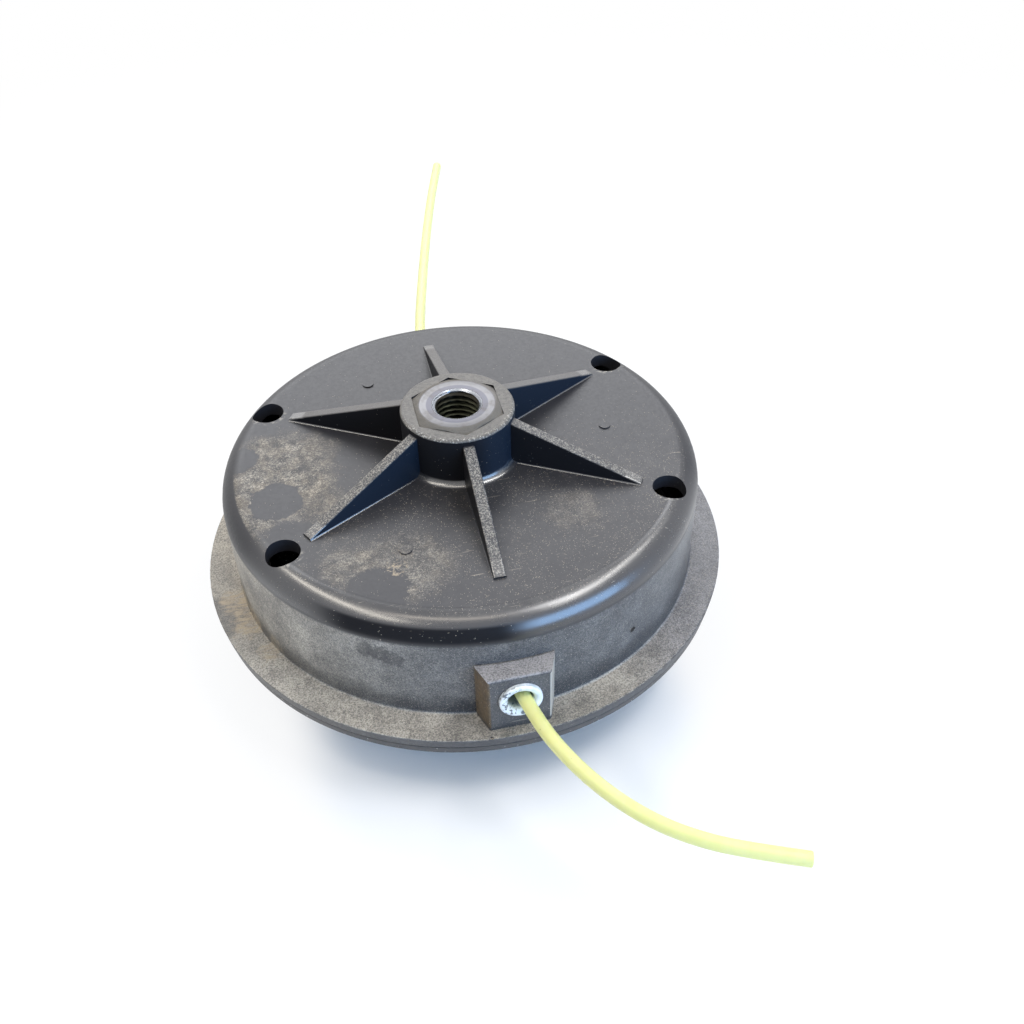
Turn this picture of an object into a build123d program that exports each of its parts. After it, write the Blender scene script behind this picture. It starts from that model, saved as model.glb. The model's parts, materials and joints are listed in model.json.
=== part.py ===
"""Tap-feed head of a string trimmer: moulded housing, sprung line spool, cover, bump knob and line."""
import os
from math import atan2, cos, hypot, pi, radians, sin, sqrt, tan

from build123d import *

# All sizes are millimetres. Z runs up the drive axis and the knob's foot is on Z = 0.
# The front eyelet points along -Y. Angles are counted about Z from +X.

# Housing
skirt_radius = 49.5
skirt_wall = 1.9
skirt_height = 24.2
plate_thickness = 3.0
corner_radius = 5.0
inner_corner_radius = 2.5
wall_embed = 0.5
flange_reach = 6.6
flange_thickness = 2.4
flange_draft = 24.0
flange_edge_radius = 0.2
flange_root_radius = 0.5
hub_wall = 1.8
hub_height = 11.1
hub_edge_radius = 0.6
hub_root_radius = 1.6

# Ribs on the drive side
rib_count = 6
rib_thickness = 2.4
rib_setback = 11.0
rib_root_drop = 1.2
rib_tip_height = 0.4
rib_embed = 0.6
rib_edge_radius = 0.35
rib_root_radius = 0.35
rib_root_dip = 0.05

# Release holes over the cover's hooks, and the ejector marks between the ribs
hole_angles = (-30, 30, 150, 210)
hole_inset = 5.4
hole_radius = 3.4
mark_angles = (0, 120, 240)
mark_inset = 18.2
mark_radius = 1.2
mark_height = 0.25

# Threaded insert, M10 x 1.25: a hexagon on a round shank, with a groove that the moulding grips
insert_sides = 6
insert_across_flats = 17.0
insert_head_height = 8.0
insert_length = 15.3
insert_proud = 0.5
insert_face_inset = 0.6
insert_corner_drop = 1.0
insert_shank_wall = 2.4
insert_groove_width = 3.0
insert_groove_depth = 0.7
thread_minor_radius = 4.32
thread_lead_in = 0.7
insert_fit = 0.05

# Line eyelets and their bosses
eyelet_turns = (-90, 90)
eyelet_drop = 16.1
eyelet_bore_radius = 2.4
eyelet_wall = 0.6
eyelet_flange_radius = 4.1
eyelet_flange_thickness = 1.0
eyelet_mouth_radius = 1.2
eyelet_roll_radius = 0.45
eyelet_flare_radius = 3.7
eyelet_flare_thickness = 0.8
eyelet_fit = 0.05
boss_setback = 2.4
boss_margin = 1.8
boss_flare = 1.6
boss_edge_radius = 0.6
notch_width = 0.6
notch_depth = 0.7

# Cover
cover_inset = 0.15
cover_wall = 2.2
cover_edge_radius = 0.4
cover_dish_depth = 7.2
cover_corner_radius = 1.8
cover_rib_count = 12
cover_rib_width = 2.4
cover_rib_height = 0.8
cover_rib_margin = 4.0
cover_rib_radius = 0.35
cover_seam = 0.2
register_height = 2.2
register_wall = 1.3
register_fit = 0.2
knob_hole_fit = 0.5

# Hooks on the cover and the ledges that hold them
hook_width = 5.0
hook_thickness = 1.8
hook_height = 9.0
hook_reach = 1.5
hook_head = 3.2
hook_tip = 1.2
ledge_height = 2.5
ledge_fit = 0.3
hook_fit = 0.1

# Spool
spool_clearance = 1.8
spool_flange = 2.0
spool_core_wall = 2.9
spool_notch_width = 2.6
spool_notch_depth = 5.0
spool_bearing_length = 2.8
spool_float = 0.4

# Arbor that the spool slides on, spring and thrust washer
arbor_wall = 2.3
arbor_overlap = 4.3
spring_seat_margin = 1.2
spring_boss_height = 4.7
running_clearance = 0.3
pocket_clearance = 0.4
spring_gap = 1.2
spring_wire = 1.5
spring_turns = 4.5
washer_thickness = 1.0
washer_gap = 0.2

# Indexing lugs: four on each face of the spool, four in the housing and four in the cover
lug_count = 4
lug_length = 6.0
lug_width = 6.0
lug_height = 2.2
upper_lug_offset = 4.0
lower_lug_inset = 7.5
lower_lug_angle = 30.0
upper_lug_angle = 69.0
tap_travel = 5.0
tap_margin = 0.6

# Bump knob
knob_reach = 9.0
knob_radius = 22.5
knob_foot_radius = 18.0
knob_foot_height = 4.0
knob_wall = 2.5
knob_shoulder_radius = 2.5
knob_flange_reach = 3.5
knob_spigot_length = 4.0
knob_spigot_wall = 2.9
knob_spigot_fit = 0.1
flute_count = 12
flute_radius = 1.6
flute_depth = 0.7
flute_height = 6.5

# Line
line_diameter = 2.7
wound_inset = 9.5
wound_layers = 6
wound_clearance = 0.1
lead_clearance = 0.3
arc_share = 0.45

# Routes of the two free ends, from inside the eyelets outwards
front_route = [
    (0.0, -50.0, 29.1),
    (1.3, -57.0, 29.1),
    (3.7, -65.2, 29.0),
    (8.6, -74.6, 28.6),
    (15.1, -82.4, 28.0),
    (22.5, -87.6, 27.2),
    (31.0, -91.2, 26.2),
    (39.3, -94.1, 25.4),
]
rear_route = [
    (0.0, 50.0, 29.1),
    (0.5, 58.0, 29.1),
    (2.2, 71.5, 28.9),
    (5.0, 86.4, 28.4),
    (10.3, 112.5, 27.4),
    (16.3, 140.1, 26.0),
    (21.7, 162.7, 24.8),
    (25.5, 177.4, 24.0),
]

# Levels
line_radius = line_diameter / 2
dish_floor = knob_reach + cover_wall
rim_bottom = knob_reach + cover_dish_depth
rim_top = rim_bottom + cover_wall
flange_bottom = rim_top + cover_seam
flange_top = flange_bottom + flange_thickness
plate_top = flange_top + skirt_height
plate_under = plate_top - plate_thickness
hub_top = plate_top + hub_height
eyelet_level = plate_top - eyelet_drop
spool_under = dish_floor + spool_float + lug_height
chamber_floor = spool_under + spool_flange
spool_top = plate_under - lug_height - tap_travel - tap_margin
chamber_roof = spool_top - spool_flange
spool_chamber = chamber_roof - chamber_floor
spring_top = plate_under - spring_boss_height
spigot_top = spool_under + knob_spigot_length
spool_seat = spigot_top + spool_bearing_length
washer_bottom = spool_seat + washer_gap
spring_bottom = washer_bottom + washer_thickness
arbor_bottom = spool_seat - arbor_overlap
ledge_top = rim_top + hook_height - hook_fit
insert_top = hub_top + insert_proud
insert_bottom = insert_top - insert_length
insert_shoulder = insert_top - insert_head_height
groove_middle = (insert_bottom + insert_shoulder) / 2
groove_top = groove_middle + insert_groove_width / 2
groove_bottom = groove_middle - insert_groove_width / 2

# Radii that follow, from the skirt inwards and outwards
skirt_inner = skirt_radius - skirt_wall
flange_radius = skirt_radius + flange_reach
flange_under_radius = flange_radius - flange_thickness * tan(radians(flange_draft))
cover_radius = flange_under_radius - cover_inset
cover_under_radius = cover_radius - cover_wall * tan(radians(flange_draft))
rib_reach = skirt_radius - rib_setback
hole_circle_radius = skirt_radius - hole_inset
mark_circle_radius = skirt_radius - mark_inset
hook_outer = skirt_inner - ledge_fit - hook_reach
ledge_inner = hook_outer + ledge_fit
dish_outer = hook_outer - ledge_fit
dish_inner = dish_outer - cover_wall
spool_radius = dish_inner - spool_clearance
lower_lug_radius = spool_radius - lower_lug_inset
wound_radius = spool_radius - wound_inset

# Radii that follow, from the thread outwards
insert_corner = insert_across_flats / 2 / cos(pi / insert_sides)
insert_face_radius = insert_across_flats / 2 - insert_face_inset
shank_radius = thread_minor_radius + insert_shank_wall
groove_radius = shank_radius - insert_groove_depth
hub_radius = insert_corner + hub_wall
collar_radius = groove_radius + insert_fit
arbor_bore_radius = shank_radius + insert_fit
arbor_radius = arbor_bore_radius + arbor_wall
spool_bore = arbor_radius + running_clearance
spring_radius = arbor_radius + spring_gap + spring_wire / 2
spring_boss_radius = spring_radius + spring_wire / 2 + spring_seat_margin
spring_pocket = spring_boss_radius + pocket_clearance
spigot_radius = spring_pocket - pocket_clearance
spool_core_radius = spring_pocket + spool_core_wall
upper_lug_radius = spool_core_radius + upper_lug_offset
knob_hole = knob_radius + knob_hole_fit
knob_flange_radius = knob_hole + knob_flange_reach

# Eyelets and bosses
eyelet_barrel = eyelet_bore_radius + eyelet_wall
flare_seat = sqrt(skirt_inner**2 - eyelet_flare_radius**2)
flare_end = flare_seat - eyelet_flare_thickness
boss_face_distance = flange_radius - boss_setback
boss_face_width = 2 * (eyelet_flange_radius + boss_margin)
boss_root_width = boss_face_width + 2 * boss_flare
boss_bottom = flange_top - wall_embed
boss_top = eyelet_level + eyelet_flange_radius + boss_margin
boss_root = skirt_inner + wall_embed
notch_distance = sqrt(flange_radius**2 - (boss_face_width / 2) ** 2)


def level(height, turn=0):
    """Horizontal plane at a height, with its X axis turned about the drive axis."""
    return Plane((0, 0, height), x_dir=(cos(radians(turn)), sin(radians(turn)), 0), z_dir=(0, 0, 1))


def upright(turn):
    """Vertical plane through the drive axis: local X points outwards and local Y up."""
    return Plane(
        (0, 0, 0),
        x_dir=(cos(radians(turn)), sin(radians(turn)), 0),
        z_dir=(sin(radians(turn)), -cos(radians(turn)), 0),
    )


def round_corner(sketch, point, radius):
    """Rounds the corner of a profile that lies nearest to a point."""
    fillet(sketch.vertices().sort_by_distance(point)[0], radius)


def add_lugs(base, height, radius, angle):
    """Adds a ring of square indexing lugs to the part being built."""
    with BuildSketch(level(base, angle)) as ring:
        with PolarLocations(radius, lug_count):
            Rectangle(lug_length, lug_width)
    extrude(ring.sketch, amount=height)


def line_tube(route):
    """Straight runs and tangent arcs of a free line end, with the arcs' radii."""
    points = [Vector(p) for p in route]
    radii = []
    for before, here, after in zip(points, points[1:], points[2:]):
        shorter = min((here - before).length, (after - here).length)
        half_turn = radians((here - before).get_angle(after - here)) / 2
        radii.append(arc_share * shorter / tan(half_turn))
    return points, radii


# Housing: plate, hub, skirt, flange and arbor turned as one wall
with BuildPart() as housing:
    with BuildSketch(upright(0)) as wall:
        with BuildLine():
            Polyline(
                (arbor_bore_radius, hub_top),
                (hub_radius, hub_top),
                (hub_radius, plate_top),
                (skirt_radius, plate_top),
                (skirt_radius, flange_top),
                (flange_radius, flange_top),
                (flange_under_radius, flange_bottom),
                (skirt_inner, flange_bottom),
                (skirt_inner, plate_under),
                (spring_boss_radius, plate_under),
                (spring_boss_radius, spring_top),
                (arbor_radius, spring_top),
                (arbor_radius, arbor_bottom),
                (arbor_bore_radius, arbor_bottom),
                (arbor_bore_radius, groove_bottom + insert_fit),
                (collar_radius, groove_bottom + insert_fit),
                (collar_radius, groove_top - insert_fit),
                (arbor_bore_radius, groove_top - insert_fit),
                close=True,
            )
        make_face()
        round_corner(wall, (hub_radius, hub_top), hub_edge_radius)
        round_corner(wall, (hub_radius, plate_top), hub_root_radius)
        round_corner(wall, (skirt_radius, plate_top), corner_radius)
        round_corner(wall, (skirt_radius, flange_top), flange_root_radius)
        round_corner(wall, (flange_radius, flange_top), flange_edge_radius)
        round_corner(wall, (flange_under_radius, flange_bottom), flange_edge_radius)
        round_corner(wall, (skirt_inner, plate_under), inner_corner_radius)
    revolve(axis=Axis.Z)

    # Triangular ribs from the hub out to the plate, each with a rounded foot
    for number in range(rib_count):
        rib_turn = number * 360 / rib_count - 90
        with BuildSketch(upright(rib_turn)):
            with BuildLine():
                Polyline(
                    (hub_radius - rib_embed, plate_top - rib_embed),
                    (rib_reach, plate_top - rib_embed),
                    (rib_reach, plate_top + rib_tip_height),
                    (hub_radius - rib_embed, hub_top - rib_root_drop),
                    close=True,
                )
            make_face()
        extrude(amount=rib_thickness / 2, both=True)
        foot_side = rib_thickness / 2 + rib_root_radius
        foot_top = plate_top + rib_root_radius - rib_root_dip
        with BuildSketch(upright(rib_turn + 90).offset(hub_radius - rib_embed)):
            with Locations((0, plate_top - rib_embed)):
                Rectangle(2 * foot_side, foot_top - plate_top + rib_embed, align=(Align.CENTER, Align.MIN))
            with Locations((-foot_side, foot_top), (foot_side, foot_top)):
                Circle(rib_root_radius, mode=Mode.SUBTRACT)
        extrude(amount=rib_reach - hub_radius + rib_embed)
    sloping_edges = housing.edges().filter_by(GeomType.LINE).filter_by(Plane.XY, reverse=True)
    fillet(sloping_edges.filter_by(Axis.Z, reverse=True), rib_edge_radius)

    # Square bosses on the skirt that carry the eyelets
    for turn in eyelet_turns:
        with BuildSketch(level(boss_bottom, turn)):
            with BuildLine():
                Polyline(
                    (boss_root, -boss_root_width / 2),
                    (skirt_radius, -boss_root_width / 2),
                    (boss_face_distance, -boss_face_width / 2),
                    (boss_face_distance, boss_face_width / 2),
                    (skirt_radius, boss_root_width / 2),
                    (boss_root, boss_root_width / 2),
                    close=True,
                )
            make_face()
        extrude(amount=boss_top - boss_bottom)
    boss_rim = housing.faces().filter_by(Plane.XZ).group_by(Axis.Y)
    boss_edges = boss_rim[0].edges() + boss_rim[-1].edges()
    boss_edges = boss_edges.filter_by(lambda edge: edge.center().Z > flange_top + boss_edge_radius)
    fillet(boss_edges, boss_edge_radius)

    # Eyelet bores, and a locating notch in the flange beside each boss
    for turn in eyelet_turns:
        with BuildSketch(upright(turn + 90).offset(boss_face_distance)):
            with Locations((0, eyelet_level)):
                Circle(eyelet_barrel + eyelet_fit)
        extrude(amount=skirt_inner - skirt_wall - boss_face_distance, mode=Mode.SUBTRACT)
        with BuildSketch(level(flange_bottom, turn)):
            with Locations((notch_distance, -boss_face_width / 2)):
                Rectangle(2 * notch_depth, notch_width)
        extrude(amount=flange_thickness, mode=Mode.SUBTRACT)

    # Release holes, and below each a ledge for a hook of the cover
    for angle in hole_angles:
        with BuildSketch(level(ledge_top - ledge_height, angle)):
            with Locations((ledge_inner, 0)):
                Rectangle(skirt_inner + wall_embed - ledge_inner, hook_width, align=(Align.MIN, Align.CENTER))
        extrude(amount=ledge_height)
        with BuildSketch(level(plate_under - hole_radius, angle)):
            with Locations((hole_circle_radius, 0)):
                Circle(hole_radius)
        extrude(amount=plate_thickness + 2 * hole_radius, mode=Mode.SUBTRACT)

    # Low round ejector marks
    for angle in mark_angles:
        with BuildSketch(level(plate_top - wall_embed, angle)):
            with Locations((mark_circle_radius, 0)):
                Circle(mark_radius)
        extrude(amount=wall_embed + mark_height)

    # Hexagonal pocket for the insert's head, and the upper indexing lugs
    with BuildSketch(level(hub_top, -90)):
        RegularPolygon(insert_across_flats / 2 + insert_fit, insert_sides, major_radius=False)
    extrude(amount=insert_shoulder - hub_top, mode=Mode.SUBTRACT)
    add_lugs(plate_under - lug_height, lug_height, upper_lug_radius, upper_lug_angle)

# Threaded insert: a chamfered hexagon on a grooved round shank, with a countersunk bore
with BuildPart() as hex_insert:
    with BuildSketch(level(insert_shoulder, -90)):
        RegularPolygon(insert_across_flats / 2, insert_sides, major_radius=False)
    extrude(amount=insert_head_height)
    with BuildSketch(level(insert_bottom)):
        Circle(shank_radius)
    extrude(amount=insert_length)
    with BuildSketch(level(insert_bottom)):
        Circle(thread_minor_radius)
    extrude(amount=insert_length, mode=Mode.SUBTRACT)
    with BuildSketch(upright(0)):
        chamfer_reach = 2 * (insert_corner - insert_face_radius)
        with BuildLine():
            Polyline(
                (insert_face_radius, insert_top),
                (insert_face_radius + chamfer_reach, insert_top),
                (insert_face_radius + chamfer_reach, insert_top - 2 * insert_corner_drop),
                close=True,
            )
        make_face()
        with BuildLine():
            Polyline(
                (groove_radius, groove_bottom),
                (insert_corner, groove_bottom),
                (insert_corner, groove_top),
                (groove_radius, groove_top),
                close=True,
            )
        make_face()
    revolve(axis=Axis.Z, mode=Mode.SUBTRACT)
    chamfer(hex_insert.edges().filter_by(GeomType.CIRCLE).sort_by(SortBy.RADIUS)[:2], thread_lead_in)

# Eyelets: rolled flange outside, barrel through the boss and a flare inside
eyelets = {}
for name, turn in zip(("front_eyelet", "rear_eyelet"), eyelet_turns):
    with BuildPart() as eyelet:
        with BuildSketch(upright(turn)) as section:
            with BuildLine():
                bore = eyelet_level + eyelet_bore_radius
                barrel = eyelet_level + eyelet_barrel
                flare = eyelet_level + eyelet_flare_radius
                roll = eyelet_level + eyelet_flange_radius
                lip = boss_face_distance + eyelet_flange_thickness
                Polyline(
                    (flare_end, bore),
                    (flare_end, flare),
                    (flare_seat, flare),
                    (flare_seat, barrel),
                    (boss_face_distance, barrel),
                    (boss_face_distance, roll),
                    (lip, roll),
                    (lip, bore),
                    close=True,
                )
            make_face()
            round_corner(section, (lip, bore), eyelet_mouth_radius)
            round_corner(section, (lip, roll), eyelet_roll_radius)
            round_corner(section, (flare_end, bore), eyelet_wall)
        revolve(axis=Axis((0, 0, eyelet_level), (cos(radians(turn)), sin(radians(turn)), 0)))
    eyelets[name] = eyelet

# Cover: a dished disc with ribs below, a register ring, four hooks, lugs and the knob's hole
with BuildPart() as cover:
    with BuildSketch(upright(0)) as shell:
        register_outer = skirt_inner - register_fit
        with BuildLine():
            Polyline(
                (knob_hole, knob_reach),
                (dish_outer, knob_reach),
                (dish_outer, rim_bottom),
                (cover_under_radius, rim_bottom),
                (cover_radius, rim_top),
                (register_outer, rim_top),
                (register_outer, rim_top + register_height),
                (register_outer - register_wall, rim_top + register_height),
                (register_outer - register_wall, rim_top),
                (dish_inner, rim_top),
                (dish_inner, dish_floor),
                (knob_hole, dish_floor),
                close=True,
            )
        make_face()
        round_corner(shell, (dish_outer, knob_reach), cover_corner_radius)
        round_corner(shell, (cover_under_radius, rim_bottom), cover_edge_radius)
        round_corner(shell, (cover_radius, rim_top), cover_edge_radius)
    revolve(axis=Axis.Z)
    with BuildSketch(level(knob_reach + wall_embed)):
        with PolarLocations((knob_hole + dish_outer) / 2, cover_rib_count):
            Rectangle(dish_outer - knob_hole - 2 * cover_rib_margin, cover_rib_width)
    extrude(amount=-wall_embed - cover_rib_height)
    fillet(cover.faces().filter_by(Plane.XY).group_by(Axis.Z)[0].edges(), cover_rib_radius)
    for angle in hole_angles:
        with BuildSketch(upright(angle)):
            hook_base = rim_top - cover_wall / 2
            hook_under = rim_top + hook_height
            with BuildLine():
                Polyline(
                    (hook_outer - hook_thickness, hook_base),
                    (hook_outer, hook_base),
                    (hook_outer, hook_under),
                    (hook_outer + hook_reach, hook_under),
                    (hook_outer - hook_thickness + hook_tip, hook_under + hook_head),
                    (hook_outer - hook_thickness, hook_under + hook_head),
                    close=True,
                )
            make_face()
        extrude(amount=hook_width / 2, both=True)
    add_lugs(dish_floor, lug_height, lower_lug_radius, lower_lug_angle)

# Spool: core and two flanges turned as one, with lugs on both faces
with BuildPart() as spool:
    with BuildSketch(upright(0)):
        spigot_recess = spigot_radius + knob_spigot_fit
        with BuildLine():
            Polyline(
                (spool_bore, spigot_top),
                (spool_bore, spool_seat),
                (spring_pocket, spool_seat),
                (spring_pocket, spool_top),
                (spool_radius, spool_top),
                (spool_radius, chamber_roof),
                (spool_core_radius, chamber_roof),
                (spool_core_radius, chamber_floor),
                (spool_radius, chamber_floor),
                (spool_radius, spool_under),
                (spigot_recess, spool_under),
                (spigot_recess, spigot_top),
                close=True,
            )
        make_face()
    revolve(axis=Axis.Z)
    add_lugs(spool_top, lug_height, upper_lug_radius, 0)
    add_lugs(spool_under - lug_height, lug_height, lower_lug_radius, 0)
    for turn in (0, 180):
        with BuildSketch(level(chamber_roof, turn)):
            with Locations((spool_radius, 0)):
                Rectangle(2 * spool_notch_depth, spool_notch_width)
        extrude(amount=spool_flange, mode=Mode.SUBTRACT)

# Thrust washer between the spring and the spool
with BuildPart() as thrust_washer:
    with BuildSketch(level(washer_bottom)):
        Circle(spring_pocket - running_clearance)
        Circle(spool_bore, mode=Mode.SUBTRACT)
    extrude(amount=washer_thickness)

# Compression spring with its ends ground flat
with BuildPart() as spring:
    spring_pitch = (spring_top - spring_bottom) / spring_turns
    with BuildLine(level(spring_bottom)) as coil:
        Helix(spring_pitch, spring_top - spring_bottom, spring_radius)
    with BuildSketch(Plane(coil.line @ 0, z_dir=coil.line % 0)):
        Circle(spring_wire / 2)
    sweep()
    split(bisect_by=Plane.XY.offset(spring_bottom), keep=Keep.TOP)
    split(bisect_by=Plane.XY.offset(spring_top), keep=Keep.BOTTOM)

# Bump knob: a cup with a flange under the spool and a spigot in its core
with BuildPart() as bump_knob:
    with BuildSketch(upright(0)) as cup:
        with BuildLine():
            Polyline(
                (0, 0),
                (knob_foot_radius, 0),
                (knob_radius, knob_foot_height),
                (knob_radius, dish_floor + spool_float),
                (knob_flange_radius, dish_floor + spool_float),
                (knob_flange_radius, spool_under),
                (knob_radius - knob_wall, spool_under),
                (knob_radius - knob_wall, knob_foot_height),
                (knob_foot_radius - knob_wall, knob_wall),
                (spigot_radius, knob_wall),
                (spigot_radius, spigot_top),
                (spigot_radius - knob_spigot_wall, spigot_top),
                (spigot_radius - knob_spigot_wall, knob_wall),
                (0, knob_wall),
                close=True,
            )
        make_face()
        round_corner(cup, (knob_radius, knob_foot_height), knob_shoulder_radius)
    revolve(axis=Axis.Z)
    with BuildSketch(level(0)):
        with PolarLocations(knob_radius + flute_radius - flute_depth, flute_count):
            Circle(flute_radius)
    extrude(amount=flute_height, mode=Mode.SUBTRACT)

# Line wound on the spool, one solid with its outer layer of turns
with BuildPart() as wound_line:
    with BuildSketch(upright(0)):
        turn_pitch = (spool_chamber - 2 * wound_clearance) / wound_layers
        first_turn = chamber_floor + wound_clearance
        turn_middle = wound_radius - turn_pitch / 2
        with Locations(((spool_core_radius + turn_middle) / 2, first_turn + turn_pitch * wound_layers / 2)):
            Rectangle(turn_middle - spool_core_radius, turn_pitch * wound_layers)
        with Locations(*[(turn_middle, first_turn + turn_pitch * (n + 0.5)) for n in range(wound_layers)]):
            Circle(turn_pitch / 2)
    revolve(axis=Axis.Z)

# Line from the winding to each eyelet: straight through the bore, then one bend onto the winding
lines = {}
lead_circle = wound_radius + lead_clearance + line_radius
bend_start = flare_end - eyelet_wall
for name, turn, route in zip(("front_line_lead", "rear_line_lead"), eyelet_turns, (front_route, rear_route)):
    outwards = Vector(cos(radians(turn)), sin(radians(turn)))
    sideways = Vector(-sin(radians(turn)), cos(radians(turn)))
    first_run = Vector(route[1]) - Vector(route[0])
    joint_distance = Vector(route[0]).dot(outwards)
    tilt = atan2(first_run.dot(sideways), first_run.dot(outwards))
    bend_side = (bend_start - joint_distance) * tan(tilt)
    bend_reach = hypot(bend_start, bend_side)
    bend = (bend_reach**2 - lead_circle**2) / (2 * (lead_circle - joint_distance * sin(tilt)))
    bend_middle = Vector(bend_start + bend * sin(tilt), bend_side - bend * cos(tilt))
    with BuildPart() as lead:
        with BuildLine(level(eyelet_level, turn)) as run:
            straight = Line((joint_distance, 0), (bend_start, bend_side))
            touch = bend_middle.normalized() * lead_circle
            TangentArc(straight @ 1, (touch.X, touch.Y), tangent=straight % 1)
        with BuildSketch(Plane(run.line @ 0, z_dir=run.line % 0)):
            Circle(line_radius)
        sweep()
    print(name, "bend radius", round(bend, 1))
    lines[name] = lead

# Free ends of the line outside the eyelets
for name, route in (("front_line", front_route), ("rear_line", rear_route)):
    with BuildPart() as free_end:
        points, radii = line_tube(route)
        print(name, "arc radii", [round(radius, 1) for radius in radii])
        with BuildLine() as run:
            FilletPolyline(*points, radius=radii)
        with BuildSketch(Plane(run.line @ 0, z_dir=run.line % 0)):
            Circle(line_radius)
        sweep()
    tube_length = run.wires()[0].length
    print(name, "length", tube_length, "volume over section", free_end.part.volume / (pi * line_radius**2))
    lines[name] = free_end

# One labelled file for each piece
pieces = {
    "housing": housing,
    "hex_insert": hex_insert,
    **eyelets,
    "cover": cover,
    "spool": spool,
    "thrust_washer": thrust_washer,
    "spring": spring,
    "bump_knob": bump_knob,
    "wound_line": wound_line,
    **lines,
}
os.makedirs("parts", exist_ok=True)
for name, piece in pieces.items():
    piece.part.label = name
    export_step(piece.part, f"parts/{name}.step")
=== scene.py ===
"""Looks of a tap-feed trimmer head: dusty housing, threaded insert, zinc eyelets and yellow line."""
import json
from math import cos, pi, radians, sin

import bpy
from mathutils import Matrix, Vector


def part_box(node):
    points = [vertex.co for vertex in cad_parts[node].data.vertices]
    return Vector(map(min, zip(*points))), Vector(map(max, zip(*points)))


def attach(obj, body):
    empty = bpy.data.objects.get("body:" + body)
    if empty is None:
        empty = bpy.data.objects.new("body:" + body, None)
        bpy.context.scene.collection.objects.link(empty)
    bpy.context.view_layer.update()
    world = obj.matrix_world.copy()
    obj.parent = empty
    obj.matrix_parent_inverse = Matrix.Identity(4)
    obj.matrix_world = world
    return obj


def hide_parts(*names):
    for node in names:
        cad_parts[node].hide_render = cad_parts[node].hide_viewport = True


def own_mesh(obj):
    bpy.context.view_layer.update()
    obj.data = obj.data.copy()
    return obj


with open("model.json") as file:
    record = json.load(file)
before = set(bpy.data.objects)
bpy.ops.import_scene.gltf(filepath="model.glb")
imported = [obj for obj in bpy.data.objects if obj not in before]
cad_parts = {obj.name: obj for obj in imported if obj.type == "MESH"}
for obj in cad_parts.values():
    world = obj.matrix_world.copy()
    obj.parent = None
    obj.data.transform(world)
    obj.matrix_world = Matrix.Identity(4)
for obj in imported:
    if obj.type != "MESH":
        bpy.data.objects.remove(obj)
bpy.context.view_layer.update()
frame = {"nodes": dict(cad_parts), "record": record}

# All lengths are metres. MM turns a size in millimetres into metres.
MM = 0.001

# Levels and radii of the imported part
insert_low, insert_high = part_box("hex_insert")
hub_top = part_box("housing")[1][2]
plate_top = hub_top - 11.1 * MM
flange_top = plate_top - 24.2 * MM
boss_top = plate_top - 10.2 * MM
skirt_radius = 49.5 * MM
hub_radius = 11.6 * MM
hole_radius = 3.4 * MM
hole_circle = 44.1 * MM
hole_turns = [radians(degrees) for degrees in (-30, 30, 150, 210)]
hole_places = [(hole_circle * cos(turn), hole_circle * sin(turn)) for turn in hole_turns]

# Camera, fitted to the plate, ribs, holes and outlines in the photograph
CAMERA_PLACE = Vector((-26.40, -172.31, 187.47)) * MM
CAMERA_RIGHT = Vector((0.97404, -0.22579, -0.01649))
CAMERA_UP = Vector((0.16501, 0.65816, 0.73457))
CAMERA_BACK = Vector((-0.15500, -0.71822, 0.67833))
CAMERA_LENS = 37.93
CAMERA_SENSOR = 36.0

# Free line ends, the same points as the part's routes
LINE_DIAMETER = 2.7 * MM
FRONT_ROUTE = [
    (0.0, -50.0, 29.1),
    (1.3, -57.0, 29.1),
    (3.7, -65.2, 29.0),
    (8.6, -74.6, 28.6),
    (15.1, -82.4, 28.0),
    (22.5, -87.6, 27.2),
    (31.0, -91.2, 26.2),
    (39.3, -94.1, 25.4),
]
REAR_ROUTE = [
    (0.0, 50.0, 29.1),
    (0.5, 58.0, 29.1),
    (2.2, 71.5, 28.9),
    (5.0, 86.4, 28.4),
    (10.3, 112.5, 27.4),
    (16.3, 140.1, 26.0),
    (21.7, 162.7, 24.8),
    (25.5, 177.4, 24.0),
]
EYELET_LEVEL = 29.1 * MM

# Threaded insert: a chamfered hexagon on a grooved round shank, with a true helical thread
INSERT_APOTHEM = 8.5 * MM
INSERT_FACE = 7.9 * MM
INSERT_CORNER_DROP = 1.0 * MM
INSERT_HEAD = 8.0 * MM
SHANK_RADIUS = 6.72 * MM
GROOVE_RADIUS = 6.02 * MM
GROOVE_WIDTH = 3.0 * MM
THREAD_MINOR = 4.32 * MM
THREAD_MAJOR = 5.0 * MM
THREAD_PITCH = 1.25 * MM
COUNTERSINK = 0.7 * MM
INSERT_COLUMNS = 120
THREAD_ROWS = 16
THREAD_SLOPE = 1.6
THREAD_FLAT = 0.3
BRIGHT_RING_INSIDE = 6.4 * MM
BRIGHT_RING_OUTSIDE = 7.5 * MM

# Rim: profiles of the nearly upright walls of flange and cover, as radius and height in millimetres
FLANGE_WALL = [
    (55.95, 20.85),
    (55.9, 20.7),
    (55.7, 18.75),
    (55.55, 18.6),
    (53.5, 18.6),
    (53.5, 20.0),
]
COVER_WALL = [
    (54.0, 18.4),
    (55.35, 18.4),
    (55.5, 18.25),
    (55.3, 16.6),
    (54.95, 16.25),
    (53.0, 16.25),
    (53.0, 17.5),
]
RIM_COLUMNS = 240

# Spring: flat end coils and open coils between them, built at one length; on the real head they close up as
# the spool is tapped up
SPRING_WIRE = 1.5 * MM
SPRING_TURNS = 5.5
SPRING_END_TURNS = 0.75
SPRING_LOW = 21.8 * MM
SPRING_HIGH = 37.5 * MM
SPRING_STEPS = 44
WIRE_SIDES = 12


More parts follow.
